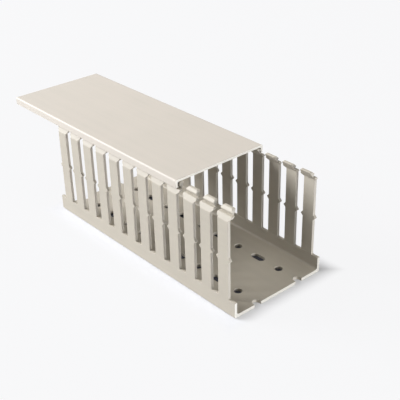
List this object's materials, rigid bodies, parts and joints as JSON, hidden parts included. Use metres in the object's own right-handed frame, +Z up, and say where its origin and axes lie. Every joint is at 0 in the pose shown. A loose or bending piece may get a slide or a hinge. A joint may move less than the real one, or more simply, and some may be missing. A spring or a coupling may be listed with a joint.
{
  "type": "slotted wire duct",
  "caption": "Slotted plastic wiring duct with finger walls, a punched floor and a clip-fit cover that slides along it.",
  "frame": {"origin": "centre of the channel's flat underside", "axes": "+X along the duct towards the end whose finger heads are uncovered, +Y across the duct, +Z up from the panel towards the cover"},
  "size_m": [0.197, 0.062, 0.0605],
  "materials": {
    "channel_pvc": "extruded rigid PVC, warm light grey, satin",
    "cover_pvc": "extruded rigid PVC, warm light grey, satin"
  },
  "bodies": {
    "channel": {"channel": "channel_pvc"},
    "cover": {"cover": "cover_pvc"}
  },
  "joints": [
    {"name": "cover_slide", "type": "slide", "parent": "channel", "child": "cover", "axis": [1, 0, 0], "range_m": [-0.098, 0.184]}
  ]
}
